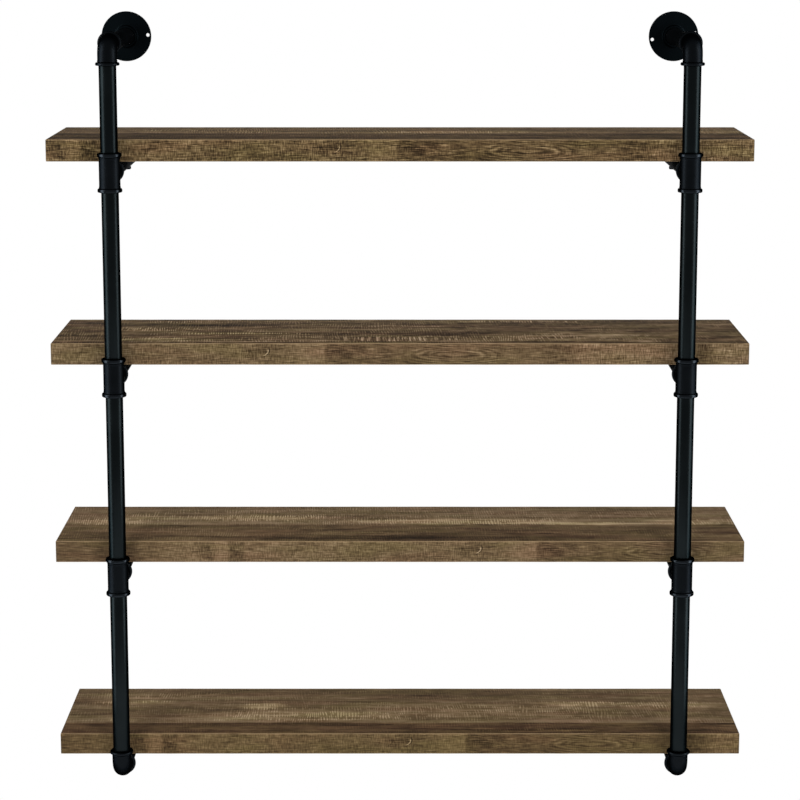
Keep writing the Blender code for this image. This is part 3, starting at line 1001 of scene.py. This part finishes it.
def screw_mesh():
    """A pan-head screw that points up, with a cross recess below and a coarse thread above."""
    size = span("board_screw_left_1_front")
    head, length = size.x / 2, size.z
    thread_start = length - SCREW_THREAD_LENGTH
    corners = [
        (0, 0),
        (head * SCREW_CROWN_SHARE, SCREW_CROWN),
        (head, SCREW_CROWN * 2, SCREW_HEAD_EASE),
        (head, SCREW_HEAD_HEIGHT, FINE_EASE),
        (SCREW_SHANK_RADIUS, SCREW_HEAD_HEIGHT, SCREW_NECK_EASE),
        (SCREW_SHANK_RADIUS, thread_start),
    ]
    bm = bmesh.new()
    rings = rings_of(bm, eased(corners), SCREW_SIDES)
    steps = round(SCREW_THREAD_LENGTH / SCREW_THREAD_PITCH * SCREW_THREAD_STEPS)
    for step in range(1, steps):
        height = thread_start + SCREW_THREAD_LENGTH * step / steps
        rings.append(ring_of(bm, thread_radii(height, length), height))
    rings.append(ring_of(bm, [0.0], length))
    for ring, following in zip(rings, rings[1:]):
        skin(bm, ring, following)
    recess = (SCREW_RECESS_SPAN, SCREW_RECESS_WIDTH, SCREW_RECESS_DEPTH * 2)
    cuts = []
    for degrees in (0, 90):
        slot = bmesh.new()
        bmesh.ops.create_cube(slot, size=1, matrix=Matrix.Diagonal((*recess, 1)))
        turn = Matrix.Rotation(math.radians(degrees), 4, "Z")
        cuts.append(("DIFFERENCE", mesh_of(slot, "recess"), turn))
    return mesh_of(shaped(mesh_of(bm, "screw_blank"), cuts), "board_screw")


def thread_radii(height, length):
    """Radii round the thread: a sharp crest that winds up the core and dies at the point."""
    taper = min(1.0, (length - height) / SCREW_POINT_LENGTH)
    radii = []
    for step in range(SCREW_SIDES):
        turn = (height / SCREW_THREAD_PITCH - step / SCREW_SIDES) % 1.0
        crest = max(0.0, 1 - abs(turn - 0.5) / SCREW_CREST_SHARE)
        radius = SCREW_CORE_RADIUS + (SCREW_SHANK_RADIUS - SCREW_CORE_RADIUS) * crest
        radii.append(taper * radius)
    return radii


def board_mesh(level, holes):
    """A thick board whose arrises are eased a little unevenly, with screw sockets below."""
    size = span(f"shelf_board_{level}")
    straight = size.x / 2 - BOARD_ARRIS
    shares = [2 * step / BOARD_STATIONS - 1 for step in range(BOARD_STATIONS + 1)]
    rounding = []
    for step in range(1, CORNER_STEPS + 1):
        angle = math.pi / 2 * step / CORNER_STEPS
        x = straight + BOARD_ARRIS * math.sin(angle)
        rounding.append((x, BOARD_ARRIS * (1 - math.cos(angle))))
    stations = [(-x, inset) for x, inset in rounding[::-1]]
    stations += [(straight * share, 0.0) for share in shares] + rounding
    bm = bmesh.new()
    rings = [board_ring(bm, size, x, inset, level) for x, inset in stations]
    for ring, following in zip(rings, rings[1:]):
        skin(bm, ring, following)
    bm.faces.new(rings[0])
    bm.faces.new(rings[-1])
    bit = drill(-OVERRUN, BOARD_SCREW_SOCKET)
    cuts = [("DIFFERENCE", bit, Matrix.Translation((x, y, -size.z / 2))) for x, y in holes]
    return mesh_of(shaped(mesh_of(bm, "board_blank"), cuts), f"board_{level}")


def board_ring(bm, size, x, inset, level):
    """The board's section at one place along it."""
    wander = noise.noise(Vector((x * ARRIS_SHORT_WAVES, level * 7.3, 0)))
    wander += noise.noise(Vector((x * ARRIS_LONG_WAVES, level, 3)))
    ease = BOARD_ARRIS + BOARD_ARRIS_WANDER * max(ARRIS_LEAST_WANDER, wander)
    half = size.z / 2 - inset
    front, back = -size.y + inset, -inset
    places = [(front, -half), (front, half), (back, half), (back, -half)]
    corners = [Vector(place) for place in places]
    ring = []
    for index, corner in enumerate(corners):
        start = corner + (corners[index - 1] - corner).normalized() * ease
        end = corner + (corners[(index + 1) % 4] - corner).normalized() * ease
        for y, z in corner_curve(start, corner, end, CORNER_STEPS - 1):
            ring.append(bm.verts.new((x, y, z)))
    return ring


def stand_in(name, mesh, finish, node, location, rotation=NO_TURN):
    """Places a dressed piece where its node is, and lets it stand for that node."""
    piece = blank_object(name, mesh)
    if not mesh.materials:
        mesh.materials.append(finish)
    piece.location = location
    piece.rotation_euler = rotation
    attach(piece, BODY)
    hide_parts(node)
    return piece


def make_boards():
    for level in LEVELS:
        node = f"shelf_board_{level}"
        screws = [middle(f"board_screw_{side}_{level}_{row}") for side in SIDES for row in ROWS]
        board = board_mesh(level, [(screw.x, screw.y) for screw in screws])
        finish = board_finish(level)
        stand_in(f"oak_board_{level}", board, finish, node, wall_side(node))


def make_tubes(upright_coat, arm_coat_painted_light):
    """Uprights and arms. Tubes of one length and with the same holes share their mesh."""
    meshes = {}
    for side in SIDES:
        names = [f"upright_{side}_{level}" for level in LEVELS]
        names += [f"top_arm_{side}"] + [f"shelf_arm_{side}_{level}" for level in LEVELS]
        for node in names:
            upright = node.startswith("upright")
            axis = 2 if upright else 1
            low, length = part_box(node)[0], span(node)[axis]
            start = middle(node)
            start[axis] = low[axis]
            holes = ()
            if node.startswith("shelf_arm"):
                screws = [middle(f"board_screw_{side}_1_{row}") for row in ROWS]
                holes = tuple(round(screw.y - low.y, 5) for screw in screws)
            key = (round(length, 4), holes)
            if key not in meshes:
                meshes[key] = tube_mesh(length, holes)
            turn = NO_TURN if upright else TO_WALL
            # The arms take the black painted lighter, a painted light.
            coat = upright_coat if upright else arm_coat_painted_light
            stand_in("black_" + node, meshes[key], coat, node, start, turn)


def make_fittings(casting_coat, flange_coat):
    """Tees, elbows and flanges. The axes of a casting cross a bead's radius in from its edges."""
    tee, elbow = tee_mesh(), elbow_mesh()
    for side in SIDES:
        castings = [(f"tee_{side}_{level}", tee, NO_TURN) for level in TEE_LEVELS]
        castings.append((f"top_elbow_{side}", elbow, NO_TURN))
        castings.append((f"bottom_elbow_{side}", elbow, UPSIDE_DOWN))
        for node, mesh, turn in castings:
            low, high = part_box(node)
            bead = (high.x - low.x) / 2
            spot = middle(node)
            spot.y = low.y + bead
            if node.startswith("top"):
                spot.z = high.z - bead
            if node.startswith("bottom"):
                spot.z = low.z + bead
            stand_in(f"cast_{node}", mesh, casting_coat, node, spot, turn)
        node = f"wall_flange_{side}"
        flange, spot = flange_mesh(side), wall_side(node)
        stand_in(f"cast_{node}", flange, flange_coat, node, spot, TO_ROOM)


def make_plugs_and_screws(plastic, steel):
    plug, screw = plug_mesh(), screw_mesh()
    screw_turn = (0, 0, math.radians(SCREW_TURN_DEGREES))
    for side in SIDES:
        for level in LEVELS:
            node = f"arm_plug_{side}_{level}"
            spot = wall_side(node)
            stand_in(f"moulded_{node}", plug, plastic, node, spot, TO_ROOM)
            for row in ROWS:
                node = f"board_screw_{side}_{level}_{row}"
                spot = middle(node)
                spot.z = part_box(node)[0].z
                stand_in(f"black_{node}", screw, steel, node, spot, screw_turn)


def seen_directly(owner):
    """1 for the rays that show the background itself: camera, glossy and transmission rays."""
    rays = [
        owner.node("ShaderNodeLightPath", None, None, name)
        for name in ("Is Camera Ray", "Is Glossy Ray", "Is Transmission Ray")
    ]
    total = rays[0] + rays[1] + rays[2]
    return owner.node("ShaderNodeMath", {"operation": "MINIMUM"}, {0: total, 1: 1.0})


class Sky(Finish):
    """The world's own nodes, made with the same methods as a finish."""

    def __init__(self, name):
        self.world = bpy.data.worlds.new(name)
        self.world.use_nodes = True
        self.tree = self.world.node_tree
        self.shader = self.tree.nodes["Background"]


def make_studio():
    sky = Sky("white_studio")
    seen = seen_directly(sky)
    sky.feed(sky.shader.inputs["Color"], WHITE)
    sky.feed(sky.shader.inputs["Strength"], seen + (1 - seen) * FILL_STRENGTH)
    bpy.context.scene.world = sky.world

    low, high = CAD_BOUNDS
    bm = bmesh.new()
    bmesh.ops.create_circle(bm, cap_ends=True, segments=FLOOR_SIDES, radius=FLOOR_RADIUS)
    floor = blank_object("studio_floor", mesh_of(bm, "studio_floor"))
    floor.location = (0, (low.y + high.y) / 2, low.z - FLOOR_DROP)
    floor.data.materials.append(floor_finish())
    floor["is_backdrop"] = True

    centre = (low + high) / 2
    for side, way in (("left", Vector((-1, 1, 1))), ("right", Vector((1, 1, 1)))):
        key_place, card_place = Vector(KEY_PLACE) * way, Vector(CARD_PLACE) * way
        key = soft_light(f"key_{side}", key_place, KEY_SIZE, KEY_POWER, centre)
        key.visible_glossy = False
        card = soft_light(f"card_{side}", card_place, CARD_SIZE, CARD_POWER, centre)
        card.visible_diffuse = False
    table = soft_light("table_gleam", TABLE_PLACE, TABLE_SIZE, TABLE_POWER, TABLE_TARGET)
    table.visible_diffuse = False


def floor_finish():
    """Pale floor: it keeps the shelf's shadow close by and runs out to plain white."""
    floor = Finish("studio_floor", roughness=0.9, ior=1.2)
    floor.feed(floor.shader.inputs["Base Color"], FLOOR_COLOUR)
    x, y, _ = floor.parts(floor.node("ShaderNodeTexCoord", None, None, "Object"))
    out = (x ** 2 + y ** 2) ** 0.5
    plain = floor.band(out, *FLOOR_SHADOW_REACH, low=FLOOR_LIFT)
    white = floor.node("ShaderNodeEmission", None, {"Color": WHITE, "Strength": 1.0})
    amount = plain * seen_directly(floor)
    lit = Layer(floor, floor.shader.outputs[0])
    mixed = floor.node("ShaderNodeMixShader", None, {0: amount, 1: lit, 2: white})
    floor.feed(floor.tree.nodes["Material Output"].inputs["Surface"], mixed)
    return floor.material


def soft_light(name, location, size, power, target):
    lamp = bpy.data.lights.new(name, "AREA")
    lamp.shape = "RECTANGLE"
    lamp.size, lamp.size_y = size
    lamp.energy = power
    holder = blank_object(name, lamp)
    holder.visible_camera = False
    holder.location = location
    towards = Vector(target) - Vector(location)
    holder.rotation_euler = towards.to_track_quat("-Z", "Y").to_euler()
    return holder


def make_camera():
    data = bpy.data.cameras.new("camera")
    data.sensor_width = CAMERA_SENSOR
    data.lens = CAMERA_LENS
    data.shift_y = CAMERA_SHIFT_UP
    camera = blank_object("camera", data)
    camera.location = (0, -CAMERA_DISTANCE, CAMERA_HEIGHT)
    camera.rotation_euler = (math.radians(90 - CAMERA_TILT_DEGREES), 0, 0)
    bpy.context.scene.camera = camera


def dress_shelf():
    make_boards()
    coats = {name: black_paint(name, *look) for name, look in BLACK_COATS.items()}
    make_tubes(coats["upright_coat"], coats["arm_coat_painted_light"])
    make_fittings(coats["casting_coat"], coats["flange_coat"])
    make_plugs_and_screws(coats["plug_plastic"], coats["screw_black"])


make_camera()
make_studio()
dress_shelf()
bpy.context.scene.view_settings.view_transform = "Standard"

sizes = {"cad": CAD_BOUNDS, "visual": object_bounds()}
{name: [list(corner) for corner in box] for name, box in sizes.items()}
